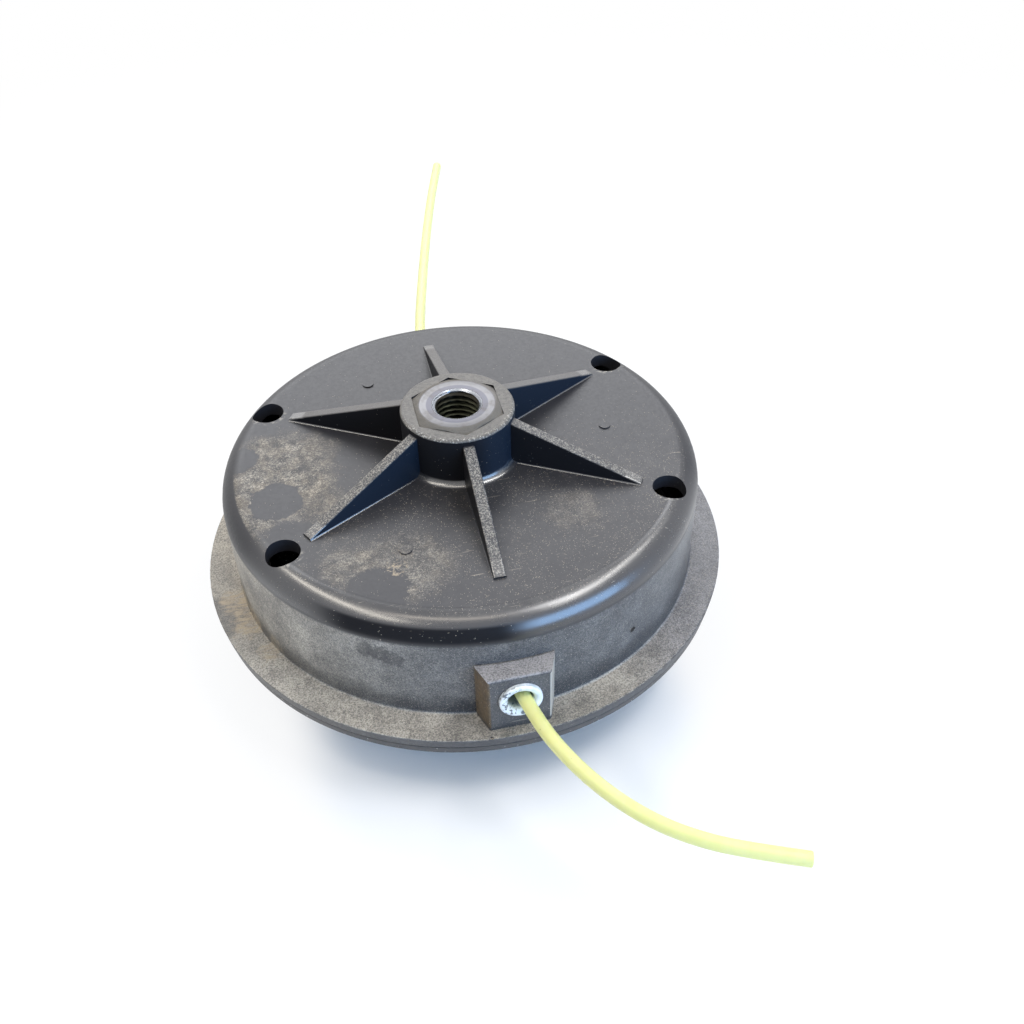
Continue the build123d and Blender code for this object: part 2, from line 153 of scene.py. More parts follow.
class Surface:
    """A node material being built: each method adds nodes and returns an output socket."""

    def __init__(self, name):
        self.material = bpy.data.materials.new(name)
        self.material.use_nodes = True
        self.tree = self.material.node_tree
        self.shader = self.tree.nodes["Principled BSDF"]
        self.place = self.add("ShaderNodeTexCoord").outputs["Object"]
        self.normal = self.add("ShaderNodeNewGeometry").outputs["Normal"]
        self.x, self.y, self.z = self.parts(self.place)
        self.to_right, self.to_back, self.up = self.parts(self.normal)

    def add(self, kind, **settings):
        """A new node with some of its settings changed."""
        node = self.tree.nodes.new(kind)
        for key, value in settings.items():
            setattr(node, key, value)
        return node

    def put(self, socket, value):
        """Links a socket to another, or sets it to a constant."""
        if isinstance(value, bpy.types.NodeSocket):
            self.tree.links.new(value, socket)
        else:
            socket.default_value = value

    def set(self, **values):
        """Sets sockets of the shader by name, with spaces written as underscores."""
        for key, value in values.items():
            self.put(self.shader.inputs[key.replace("_", " ")], value)

    def parts(self, vector):
        """The X, Y and Z of a vector."""
        node = self.add("ShaderNodeSeparateXYZ")
        self.put(node.inputs[0], vector)
        return node.outputs

    def math(self, operation, first, second=0.0, clamp=False):
        """One step of arithmetic."""
        node = self.add("ShaderNodeMath", operation=operation, use_clamp=clamp)
        self.put(node.inputs[0], first)
        self.put(node.inputs[1], second)
        return node.outputs[0]

    def total(self, *values):
        """The sum of several values, held between 0 and 1."""
        result = values[0]
        for value in values[1:]:
            result = self.math("ADD", result, value, clamp=True)
        return result

    def product(self, *values):
        """The product of several values."""
        result = values[0]
        for value in values[1:]:
            result = self.math("MULTIPLY", result, value)
        return result

    def invert(self, value):
        """One less a value."""
        return self.math("SUBTRACT", 1.0, value, clamp=True)

    def step(self, value, low, high, least=0.0, most=1.0):
        """A smooth step from least at low to most at high; low may be the greater."""
        node = self.add("ShaderNodeMapRange", interpolation_type="SMOOTHSTEP")
        self.put(node.inputs["Value"], value)
        ends = (low, high, least, most) if low < high else (high, low, most, least)
        for key, end in zip(("From Min", "From Max", "To Min", "To Max"), ends):
            self.put(node.inputs[key], end)
        return node.outputs[0]

    def band(self, value, low, high, soft):
        """1 between two values, falling to 0 over a soft edge outside them."""
        return self.product(self.step(value, low - soft, low), self.step(value, high + soft, high))

    def noise(self, size, detail=2.0, roughness=0.5, place=None):
        """Noise with features of about a size in metres."""
        node = self.add("ShaderNodeTexNoise")
        self.put(node.inputs["Vector"], self.place if place is None else place)
        self.put(node.inputs["Scale"], 1.0 / size)
        self.put(node.inputs["Detail"], detail)
        self.put(node.inputs["Roughness"], roughness)
        return node.outputs["Fac"]

    def grains(self, size, share, grain=0.3):
        """Ragged grains in cells of a size; share is the part of the cells that holds one."""
        warp = self.add("ShaderNodeTexNoise")
        self.put(warp.inputs["Vector"], self.place)
        self.put(warp.inputs["Scale"], 2.2 / size)
        shifted = self.add("ShaderNodeVectorMath", operation="MULTIPLY_ADD")
        self.put(shifted.inputs[0], warp.outputs["Color"])
        self.put(shifted.inputs[1], (0.35 * size,) * 3)
        self.put(shifted.inputs[2], self.place)
        node = self.add("ShaderNodeTexVoronoi")
        self.put(node.inputs["Vector"], shifted.outputs[0])
        self.put(node.inputs["Scale"], 1.0 / size)
        tints = self.add("ShaderNodeSeparateColor")
        self.put(tints.inputs[0], node.outputs["Color"])
        chosen = self.math("LESS_THAN", tints.outputs[0], share)
        reach = self.math("MULTIPLY_ADD", tints.outputs[1], grain)
        self.put(reach.node.inputs[2], grain * 0.5)
        inside = self.math("LESS_THAN", node.outputs["Distance"], reach)
        return self.product(chosen, inside, self.step(tints.outputs[2], 0.0, 1.0, 0.3, 1.0))

    def stretched(self, along, across, turn=0.0):
        """Coordinates stretched in the plane, for scratches: two sizes and a turn in degrees."""
        node = self.add("ShaderNodeMapping")
        self.put(node.inputs["Vector"], self.place)
        self.put(node.inputs["Rotation"], (0.0, 0.0, radians(turn)))
        self.put(node.inputs["Scale"], (1.0 / along, 1.0 / across, 1.0 / across))
        return node.outputs[0]

    def radius(self):
        """Distance from the drive axis."""
        squares = [self.math("MULTIPLY", value, value) for value in (self.x, self.y)]
        return self.math("SQRT", self.math("ADD", *squares))

    def near(self, centre, reach, ragged=0.0, soft=0.5):
        """A patch about a point: 1 inside, 0 past its reach, with a ragged edge."""
        node = self.add("ShaderNodeVectorMath", operation="DISTANCE")
        self.put(node.inputs[0], self.place)
        self.put(node.inputs[1], centre)
        distance = node.outputs["Value"]
        if ragged:
            wander = self.math("MULTIPLY_ADD", self.noise(reach * 0.45, 4.0, 0.6), ragged)
            self.put(wander.node.inputs[2], -ragged / 2)
            distance = self.math("ADD", distance, wander)
        return self.step(distance, reach, reach * (1.0 - soft))

    def patches(self, rows, level):
        """The sum of several patches, given as rows in millimetres, with z counted from a level."""
        return self.total(*[
            self.product(self.near((x * MM, y * MM, level + z * MM), reach * MM, ragged * MM, soft), weight)
            for x, y, z, reach, ragged, soft, weight in rows
        ])

    def mix(self, factor, first, second):
        """A blend of two colours."""
        node = self.add("ShaderNodeMix", data_type="RGBA")
        self.put(node.inputs[0], factor)
        for socket, value in ((node.inputs[6], first), (node.inputs[7], second)):
            self.put(socket, value if isinstance(value, bpy.types.NodeSocket) else (*value, 1.0))
        return node.outputs[2]

    def bump(self, height, distance, strength=1.0, below=None):
        """A bump from a height between 0 and 1, over an earlier bump if one is given."""
        node = self.add("ShaderNodeBump")
        self.put(node.inputs["Height"], height)
        self.put(node.inputs["Distance"], distance)
        self.put(node.inputs["Strength"], strength)
        if below is not None:
            self.put(node.inputs["Normal"], below)
        return node.outputs[0]


# Colours, as they look under plain light; a few are painted light or shade, marked where they are used
BLACK_NYLON = (0.021, 0.021, 0.025)
# Painted blue reflection, for the walls that face right
PAINTED_BLUE_REFLECTION = (0.009, 0.0155, 0.027)
# Painted shade, for the walls of ribs and hub and the corner's foot
PAINTED_SHADE_BLACK = (0.011, 0.011, 0.013)
PALE_DUST = (0.51, 0.465, 0.395)
GREY_DUST = (0.30, 0.28, 0.26)
MAUVE_DUST = (0.33, 0.315, 0.315)
TAN_DUST = (0.40, 0.32, 0.22)
RUBBED_GREY = (0.205, 0.188, 0.162)
BROWN_DIRT = (0.13, 0.09, 0.05)
WHITE_GRIT = (0.58, 0.55, 0.50)
LOOSE_GRAIN = (0.54, 0.47, 0.37)
# Painted shade, for the inside of the small pit on the skirt
PAINTED_PIT_SHADE = (0.004, 0.004, 0.004)
COVER_SPECK = (0.55, 0.52, 0.47)
DULL_STEEL = (0.105, 0.105, 0.122)
BRIGHT_STEEL = (0.165, 0.165, 0.172)
EDGE_STEEL = (0.115, 0.11, 0.105)
POLISHED_STEEL = (0.40, 0.42, 0.46)
STEEL_STAIN = (0.10, 0.085, 0.07)
STEEL_GRIME = (0.112, 0.102, 0.088)
# Oily grime and painted shade of the bore, for the thread
OILY_THREAD_AND_SHADE = (0.017, 0.016, 0.013)
DEEP_THREAD_AND_SHADE = (0.025, 0.027, 0.018)
ZINC_GREY = (0.72, 0.78, 0.82)
ZINC_WHITE = (0.86, 0.89, 0.90)
THROAT_DIRT = (0.09, 0.10, 0.06)
ZINC_CHIP = (0.07, 0.08, 0.10)
WIRE_GREY = (0.36, 0.36, 0.37)
WIRE_OIL = (0.20, 0.19, 0.18)
LINE_YELLOW = (0.68, 0.68, 0.24)
LINE_PALE = (0.75, 0.74, 0.34)
LINE_DIRT = (0.30, 0.24, 0.12)
COVER_NYLON = (0.020, 0.020, 0.023)
SPOOL_NYLON = (0.035, 0.036, 0.039)
KNOB_NYLON = (0.022, 0.022, 0.024)
FLOOR_PAPER = (0.92, 0.92, 0.915)
FLOOR_PALE = (0.94, 0.94, 0.94)

# Places of small marks of wear on the housing
FRONT_LEFT_MARK = (-18.0 * MM, -31.2 * MM, plate_top)
SKIRT_PIT = (24.9 * MM, -42.8 * MM, plate_top - 16.2 * MM)

# Patches on the housing: x, y, z from a level, reach and raggedness in millimetres, softness, weight
THICK_DUST = [
    (-37, 3, 0, 14, 9, 0.5, 0.85),
    (-43, -9, 0, 9, 5, 0.5, 0.9),
    (-33, -8, 0, 9, 7, 0.5, 0.7),
    (-16, -31, 0, 11, 8, 0.5, 0.6),
    (-27, -28.5, 0, 6, 6, 0.5, 0.6),
    (18, -24, 0, 8, 7, 0.5, 0.35),
]
WIPED_CLEAN = [
    (-38.6, -7.5, 0, 5.6, 4.5, 0.12, 1.0),
    (-45, 7.4, 0, 4.2, 3.5, 0.12, 1.0),
    (-22, -36.5, 0, 6.5, 6, 0.12, 1.0),
    (-36, -20, 0, 6.5, 5, 0.2, 1.0),
    (-26, -42.1, -8.4, 2.6, 4, 0.4, 0.8),
    (-23.8, -43.4, -9.0, 2.6, 4, 0.4, 0.8),
    (-21.5, -44.6, -9.6, 2.6, 4, 0.4, 0.8),
]
FLANGE_SMEAR = [
    (-50.2, -9, 1, 5, 6, 0.5, 1.0),
    (-48.6, -16, 1, 4.6, 6, 0.5, 1.0),
    (-44.5, -24.5, 1, 3.6, 5, 0.5, 0.7),
    (-50, -2, 6, 7, 6, 0.5, 0.5),
]
FLANGE_BARE = [(-54.5, -13, 0, 6.5, 3, 0.3, 1.0)]


def housing_nylon():
    """Black moulded nylon: dusty in front and at the left, a worn shiny corner, gritty rib tops and hub,
    with painted shade on the walls and the corner's foot, a painted blue reflection on right-facing walls
    and a painted sheen on the rear rib tops.
    """
    s = Surface("housing_nylon")
    radius = s.radius()
    aside = s.math("ABSOLUTE", s.x)
    upward = s.step(s.up, 0.35, 0.9)
    front = s.step(s.y, 12 * MM, -22 * MM)
    left = s.step(s.x, -6 * MM, -40 * MM)
    right = s.step(s.x, 18 * MM, 44 * MM)
    cloud = s.noise(9 * MM, 4.0, 0.6)
    grit = s.noise(0.22 * MM, 3.0, 0.75)
    powder = s.product(
        s.step(s.noise(0.34 * MM, 3.0, 0.85), 0.36, 0.64, 0.45, 1.55),
        s.step(s.noise(5 * MM, 5.0, 0.8), 0.36, 0.64, 0.74, 1.26),
    )

    # Zones of the moulding
    raised = s.step(s.z, plate_top + 0.3 * MM, plate_top + 0.7 * MM)
    hub_ring = s.product(s.step(s.z, hub_top - 0.7 * MM, hub_top - 0.4 * MM), s.step(s.up, 0.1, 0.6))
    off_hub = s.step(radius, hub_radius, hub_radius + 0.5 * MM)
    rib_top = s.product(raised, upward, s.invert(hub_ring), off_hub)
    wall = s.product(
        s.step(s.z, plate_top + 0.1 * MM, plate_top + 0.4 * MM),
        s.invert(upward),
        s.invert(hub_ring),
    )
    root = s.product(
        s.band(s.z, plate_top + 0.02 * MM, plate_top + 1.4 * MM, 0.2 * MM),
        s.band(s.up, 0.3, 0.9, 0.1),
    )
    plate = s.product(s.band(s.z, plate_top - 0.3 * MM, plate_top + 0.4 * MM, 0.2 * MM), upward)
    corner = s.product(
        s.step(radius, skirt_radius - 5.0 * MM, skirt_radius - 4.2 * MM),
        s.step(s.z, plate_top - 5.6 * MM, plate_top - 3.8 * MM),
    )
    # The lower part of the front corner, painted dark as shade below its highlight
    painted_dark_corner_foot = s.product(corner, s.step(s.up, 0.74, 0.60), s.band(s.x, -28 * MM, -3 * MM, 9 * MM))
    boss = s.product(
        s.step(aside, 9.2 * MM, 8.4 * MM),
        s.step(radius, skirt_radius + 0.15 * MM, skirt_radius + 0.4 * MM),
        s.band(s.z, flange_top + 1.0 * MM, boss_top + 0.3 * MM, 0.4 * MM),
    )
    skirt = s.product(
        s.band(s.z, flange_top + 0.3 * MM, plate_top - 5.6 * MM, 0.8 * MM),
        s.step(radius, skirt_radius - 1.0 * MM, skirt_radius - 0.3 * MM),
        s.invert(boss),
    )
    skirt_foot = s.product(skirt, s.step(s.z, flange_top + 6.5 * MM, flange_top + 1.5 * MM))
    flange = s.product(s.step(s.z, flange_top + 1.0 * MM, flange_top + 0.4 * MM), upward)
    rim = s.product(s.step(s.z, flange_top + 0.2 * MM, flange_top - 0.1 * MM), s.invert(upward))

    # Dust lies thick in these places, and is wiped off in others
    wiped = s.patches(WIPED_CLEAN, plate_top)
    thick = s.product(s.patches(THICK_DUST, plate_top), s.invert(wiped), plate)
    smear = s.patches(FLANGE_SMEAR, flange_top)
    bare = s.patches(FLANGE_BARE, flange_top)
    boss_left = s.product(boss, s.step(s.to_right, -0.15, -0.35))
    boss_right = s.product(boss, s.step(s.to_right, 0.15, 0.35))
    boss_face = s.product(boss, s.step(s.math("ABSOLUTE", s.to_back), 0.85, 0.97))
    boss_crown = s.product(boss, upward)
    chipped = s.step(s.noise(0.9 * MM, 3.0, 0.7), 0.5, 0.62)
    hole_rims = s.total(*[
        s.product(
            s.near((x, y, plate_top), hole_radius + 1.1 * MM, soft=0.2),
            s.step(s.y, y, y - 2 * MM),
            0.8,
        )
        for x, y in hole_places
    ])
    hole_rims = s.product(hole_rims, plate, chipped)
    caked_mark = s.product(s.near(FRONT_LEFT_MARK, 2.6 * MM, 1.2 * MM, 0.3), chipped)
    pit = s.near(SKIRT_PIT, 0.8 * MM, 0.3 * MM)

    # Share of the surface under loose grains
    density = s.total(
        s.product(plate, front, s.step(cloud, 0.3, 0.7, 0.10, 0.40)),
        s.product(plate, 0.010),
        s.product(thick, 0.6),
        s.product(skirt, s.step(s.y, 15 * MM, -30 * MM), s.step(cloud, 0.3, 0.7, 0.45, 0.85)),
        s.product(flange, s.step(s.y, 30 * MM, -30 * MM), s.step(cloud, 0.3, 0.7, 0.10, 0.28)),
        s.product(corner, s.step(s.y, 0.0, -35 * MM), 0.03),
        s.product(smear, 0.3),
        s.product(boss, 0.3),
        s.product(wall, 0.008),
    )
    density = s.product(density, s.invert(s.product(wiped, 0.85)))
    fine = s.grains(0.22 * MM, density, 0.28)
    coarse = s.grains(1.3 * MM, s.product(density, 0.07), 0.08)
    hairs = s.product(
        s.step(s.noise(1.0, 1.0, 0.4, s.stretched(9 * MM, 0.30 * MM, 35)), 0.72, 0.77),
        s.step(s.noise(7 * MM, 1.0), 0.52, 0.62),
        front,
    )

    # Film of dust that greys the black
    film = s.total(
        s.product(plate, front, s.step(cloud, 0.3, 0.7, 0.0, 0.06)),
        s.product(
            thick,
            s.step(s.noise(0.42 * MM, 4.0, 0.8), 0.38, 0.66, 0.06, 0.58),
            s.step(s.noise(2.4 * MM, 4.0, 0.7), 0.38, 0.60, 0.25, 1.25),
        ),
        s.product(
            flange,
            s.invert(s.product(bare, 0.75)),
            s.step(s.x, 48 * MM, 24 * MM, 0.46, 0.95),
            s.step(s.x, -34 * MM, -48 * MM, 1.0, 0.62),
            s.step(s.y, -46 * MM, -53 * MM, 1.0, 0.60),
        ),
        s.product(skirt, s.step(cloud, 0.25, 0.75, 0.20, 0.34)),
        s.product(skirt, left, s.step(cloud, 0.25, 0.75, 0.12, 0.28)),
        s.product(boss_crown, 0.85),
        s.product(boss_face, 0.22),
        s.product(rim, 0.12),
    )
    film = s.product(film, powder, s.invert(s.product(skirt_foot, 0.55)), s.invert(s.product(wiped, 0.7)))

    # Wear on the tops of ribs and hub, and a painted sheen on the rib tops toward the back
    pepper = s.noise(0.32 * MM, 3.0, 0.8)
    salt = s.product(rib_top, s.step(s.y, 2 * MM, -6 * MM), s.step(pepper, 0.48, 0.60))
    painted_rib_sheen = s.product(rib_top, s.step(s.y, -2 * MM, 4 * MM, 0.08, 0.28))
    rubbed = s.product(hub_ring, s.step(s.noise(0.8 * MM, 5.0, 0.8), 0.36, 0.64, 0.32, 0.64))
    chips = s.product(
        hub_ring,
        s.step(radius, hub_radius - 1.4 * MM, hub_radius - 0.3 * MM),
        s.step(s.y, 2 * MM, -6 * MM),
        s.step(s.noise(0.45 * MM, 3.0, 0.7), 0.54, 0.62),
    )

    # Colours laid over one another, from the nylon up to the loose grains
    dust = s.mix(s.total(left, s.product(skirt, 0.2)), GREY_DUST, PALE_DUST)
    dust = s.mix(s.total(s.product(flange, s.invert(right)), thick), dust, PALE_DUST)
    dust = s.mix(s.total(boss_crown, s.product(flange, right)), dust, MAUVE_DUST)
    strands = s.noise(1.0, 4.0, 0.7, s.stretched(3.0 * MM, 0.7 * MM, 60))
    blue_reflection_wall = s.product(wall, s.step(s.to_right, 0.0, 0.5))
    # Painted shade: the walls of ribs and hub and the corner's foot are darker than the plate
    colour = s.mix(s.total(wall, painted_dark_corner_foot), BLACK_NYLON, PAINTED_SHADE_BLACK)
    # Painted blue reflection: the walls of ribs and hub that face right are tinted blue
    colour = s.mix(blue_reflection_wall, colour, PAINTED_BLUE_REFLECTION)
    colour = s.mix(film, colour, dust)
    colour = s.mix(s.product(smear, s.step(strands, 0.42, 0.60, 0.2, 1.0)), colour, TAN_DUST)
    tan = s.product(thick, s.step(s.noise(2.2 * MM, 3.0), 0.42, 0.62, 0.0, 0.12))
    colour = s.mix(tan, colour, TAN_DUST)
    caked = s.product(boss_left, s.step(s.noise(1.1 * MM, 4.0, 0.7), 0.3, 0.65, 0.4, 1.0))
    colour = s.mix(caked, colour, BROWN_DIRT)
    colour = s.mix(s.product(boss_right, 0.8), colour, PALE_DUST)
    # Painted sheen: the rib tops toward the back are greyed
    colour = s.mix(painted_rib_sheen, colour, GREY_DUST)
    colour = s.mix(rubbed, colour, RUBBED_GREY)
    colour = s.mix(s.product(caked_mark, 0.7), colour, TAN_DUST)
    colour = s.mix(s.total(s.product(salt, 0.55), s.product(hole_rims, 0.6)), colour, PALE_DUST)
    loose = s.total(s.product(fine, 0.6), s.product(coarse, 0.5), s.product(hairs, 0.45))
    colour = s.mix(loose, colour, LOOSE_GRAIN)
    colour = s.mix(s.product(chips, 0.8), colour, WHITE_GRIT)
    # Painted shade in the small pit on the skirt
    colour = s.mix(pit, colour, PAINTED_PIT_SHADE)

    # Worn shine on the corner and at the feet of hub and ribs, and small bumps
    shiny = s.total(s.product(corner, s.invert(painted_dark_corner_foot), s.step(s.y, -14 * MM, -30 * MM)), root)
    rough = s.total(
        s.product(s.invert(shiny), s.step(s.noise(0.6 * MM, 3.0), 0.3, 0.7, 0.40, 0.48)),
        s.product(shiny, s.step(cloud, 0.3, 0.7, 0.24, 0.32)),
        s.product(film, s.invert(right), 0.3),
        s.product(thick, 0.15),
    )
    rough = s.math("SUBTRACT", rough, s.product(skirt, right, 0.10))
    gloss = s.total(
        s.product(shiny, 0.2),
        s.step(s.total(wall, painted_dark_corner_foot), 0.0, 1.0, 0.45, 0.08),
        s.product(blue_reflection_wall, 0.12),
    )
    texture = s.bump(s.noise(0.35 * MM, 2.0), 0.015 * MM, 0.3)
    texture = s.bump(s.total(s.product(fine, 0.4), coarse, chips), 0.08 * MM, 0.8, texture)
    texture = s.bump(s.product(s.total(rib_top, hub_ring), grit), 0.10 * MM, 0.8, texture)
    texture = s.bump(s.invert(pit), 0.4 * MM, 1.0, texture)
    s.set(Base_Color=colour, Roughness=rough, Normal=texture, Specular_IOR_Level=gloss)
    coat = s.total(s.product(shiny, 0.6), s.product(root, 0.4))
    s.set(Coat_Weight=coat, Coat_Roughness=0.24, Coat_IOR=1.75)
    return s.material


def plain_nylon(name, tone, dust):
    """Black nylon with a moulded grain and a little dust, for the pieces under the flange."""
    s = Surface(name)
    cloud = s.noise(8 * MM, 4.0, 0.6)
    specks = s.grains(0.5 * MM, s.step(cloud, 0.35, 0.7, 0.0, dust), 0.3)
    colour = s.mix(s.step(cloud, 0.3, 0.7, 0.02, 0.25 * dust), tone, PALE_DUST)
    colour = s.mix(specks, colour, COVER_SPECK)
    scuffs = s.step(s.noise(1.0, 2.0, 0.5, s.stretched(6 * MM, 0.4 * MM, 20)), 0.6, 0.75)
    colour = s.mix(s.product(scuffs, 0.10), colour, PALE_DUST)
    texture = s.bump(s.noise(0.3 * MM, 2.0), 0.02 * MM, 0.5)
    s.set(Base_Color=colour, Roughness=s.step(cloud, 0.3, 0.7, 0.42, 0.55), Normal=texture)
    return s.material


def insert_steel():
    """Dull turned steel: a bright ring and countersink, grimy chamfers, an oily thread painted almost black
    as shade in the bore.
    """
    s = Surface("insert_steel")
    radius = s.radius()
    top = insert_high[2]
    ring_place = s.add("ShaderNodeCombineXYZ")
    s.put(ring_place.inputs[0], radius)
    rings = s.noise(0.16 * MM, 2.0, 0.6, ring_place.outputs[0])
    stain = s.step(s.noise(2.4 * MM, 4.0, 0.65), 0.45, 0.7)
    bright = s.band(radius, BRIGHT_RING_INSIDE, BRIGHT_RING_OUTSIDE, 0.25 * MM)
    outside = s.step(radius, BRIGHT_RING_OUTSIDE, BRIGHT_RING_OUTSIDE + 0.5 * MM)
    thread = s.step(radius, THREAD_MAJOR + 0.25 * MM, THREAD_MAJOR + 0.05 * MM)
    depth = s.step(s.z, top - 0.8 * MM, top - 3.6 * MM)
    back_right = s.product(s.step(s.x, 1 * MM, 5 * MM), s.step(s.y, -3 * MM, 1 * MM))
    crumbs = s.step(s.noise(0.7 * MM, 4.0, 0.7), 0.40, 0.55)
    sink_foot = top - COUNTERSINK
    sink = s.product(
        s.step(radius, THREAD_MAJOR + 0.1 * MM, THREAD_MAJOR),
        s.step(s.z, sink_foot - 0.10 * MM, sink_foot + 0.05 * MM),
    )
    grime = s.product(
        outside,
        s.total(s.product(crumbs, 0.45), 0.55),
        s.step(back_right, 0.0, 1.0, 1.0, 0.25),
    )
    colour = s.mix(bright, DULL_STEEL, BRIGHT_STEEL)
    colour = s.mix(outside, colour, EDGE_STEEL)
    colour = s.mix(s.product(stain, 0.35), colour, STEEL_STAIN)
    # Oily grime and painted shade: the thread is made almost black, and a dark green-black deeper down
    colour = s.mix(thread, colour, OILY_THREAD_AND_SHADE)
    colour = s.mix(s.product(thread, depth), colour, DEEP_THREAD_AND_SHADE)
    colour = s.mix(sink, colour, POLISHED_STEEL)
    colour = s.mix(grime, colour, STEEL_GRIME)
    rough = s.total(s.step(rings, 0.3, 0.7, 0.34, 0.46), s.product(stain, 0.10), s.product(grime, 0.4))
    rough = s.math("SUBTRACT", rough, s.product(sink, 0.16))
    s.set(Base_Color=colour, Metallic=s.step(grime, 0.0, 1.0, 0.92, 0.0), Roughness=rough)
    s.set(Normal=s.bump(grime, 0.08 * MM, 0.7, s.bump(rings, 0.010 * MM, 0.5)))
    return s.material


def eyelet_zinc():
    """White zinc plating with dark chips at the left and a grubby throat."""
    s = Surface("eyelet_zinc")
    outwards = s.math("ABSOLUTE", s.y)
    throat = s.step(outwards, 54.0 * MM, 52.4 * MM)
    bloom = s.step(s.noise(1.6 * MM, 3.0, 0.6), 0.35, 0.7)
    chips = s.product(s.step(s.noise(0.8 * MM, 3.0, 0.65), 0.54, 0.60), s.step(s.x, 1 * MM, -2 * MM))
    spot = s.near((0.3 * MM, -54.6 * MM, EYELET_LEVEL - 3.2 * MM), 0.6 * MM, 0.3 * MM)
    marks = s.total(chips, spot)
    colour = s.mix(bloom, ZINC_GREY, ZINC_WHITE)
    colour = s.mix(s.product(throat, 0.75), colour, THROAT_DIRT)
    colour = s.mix(s.product(marks, 0.85), colour, ZINC_CHIP)
    rough = s.total(s.step(bloom, 0.0, 1.0, 0.36, 0.52), s.product(marks, 0.15))
    s.set(Base_Color=colour, Metallic=s.step(bloom, 0.0, 1.0, 0.35, 0.12), Roughness=rough)
    s.set(Normal=s.bump(s.total(s.invert(marks), s.product(bloom, 0.3)), 0.05 * MM, 0.7))
    return s.material


def spring_steel():
    """Oiled drawn wire."""
    s = Surface("spring_steel")
    streaks = s.noise(0.5 * MM, 3.0, 0.6)
    colour = s.mix(s.step(streaks, 0.4, 0.7), WIRE_GREY, WIRE_OIL)
    s.set(Base_Color=colour, Metallic=1.0, Roughness=s.step(streaks, 0.3, 0.7, 0.25, 0.42))
    return s.material


def line_nylon():
    """Yellow extruded line: slightly translucent, with a drawn grain and a little dirt."""
    s = Surface("line_nylon")
    mottle = s.noise(2.4 * MM, 3.0, 0.6)
    colour = s.mix(mottle, LINE_YELLOW, LINE_PALE)
    specks = s.grains(0.8 * MM, s.step(mottle, 0.45, 0.7, 0.0, 0.14), 0.22)
    colour = s.mix(s.product(specks, 0.7), colour, LINE_DIRT)
    s.set(Base_Color=colour, Roughness=s.step(mottle, 0.3, 0.7, 0.34, 0.46))
    s.set(Subsurface_Weight=0.35, Subsurface_Radius=(1.0, 0.9, 0.25), Subsurface_Scale=0.9 * MM, IOR=1.53)
    s.set(Normal=s.bump(s.noise(0.5 * MM, 2.0), 0.015 * MM, 0.5))
    return s.material


materials = {
    "housing_nylon": housing_nylon(),
    "cover_nylon": plain_nylon("cover_nylon", COVER_NYLON, 0.25),
    "spool_nylon": plain_nylon("spool_nylon", SPOOL_NYLON, 0.08),
    "knob_nylon": plain_nylon("knob_nylon", KNOB_NYLON, 0.35),
    "insert_steel": insert_steel(),
    "eyelet_zinc": eyelet_zinc(),
    "spring_steel": spring_steel(),
    "line_nylon": line_nylon(),
}
slots = {part["node"]: part["material_slot"] for part in frame["record"]["subparts"]}
for name, node in frame["nodes"].items():
    node.data.materials.clear()
    node.data.materials.append(materials[slots[name]])


def new_mesh(name, points, faces, slot, body):
    """A smooth mesh piece that rides on a body and takes a material slot's finish."""
    mesh = bpy.data.meshes.new(name)
    mesh.from_pydata(points, [], faces)
    mesh.validate()
    mesh.shade_smooth()
    mesh.materials.append(materials[slot])
    piece = bpy.data.objects.new(name, mesh)
    bpy.context.scene.collection.objects.link(piece)
    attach(piece, body)
    return piece


def ring_faces(rows, columns):
    """Quads of a grid of rings that close on themselves."""
    return [
        (row * columns + column, row * columns + (column + 1) % columns,
         (row + 1) * columns + (column + 1) % columns, (row + 1) * columns + column)
        for row in range(rows - 1) for column in range(columns)
    ]


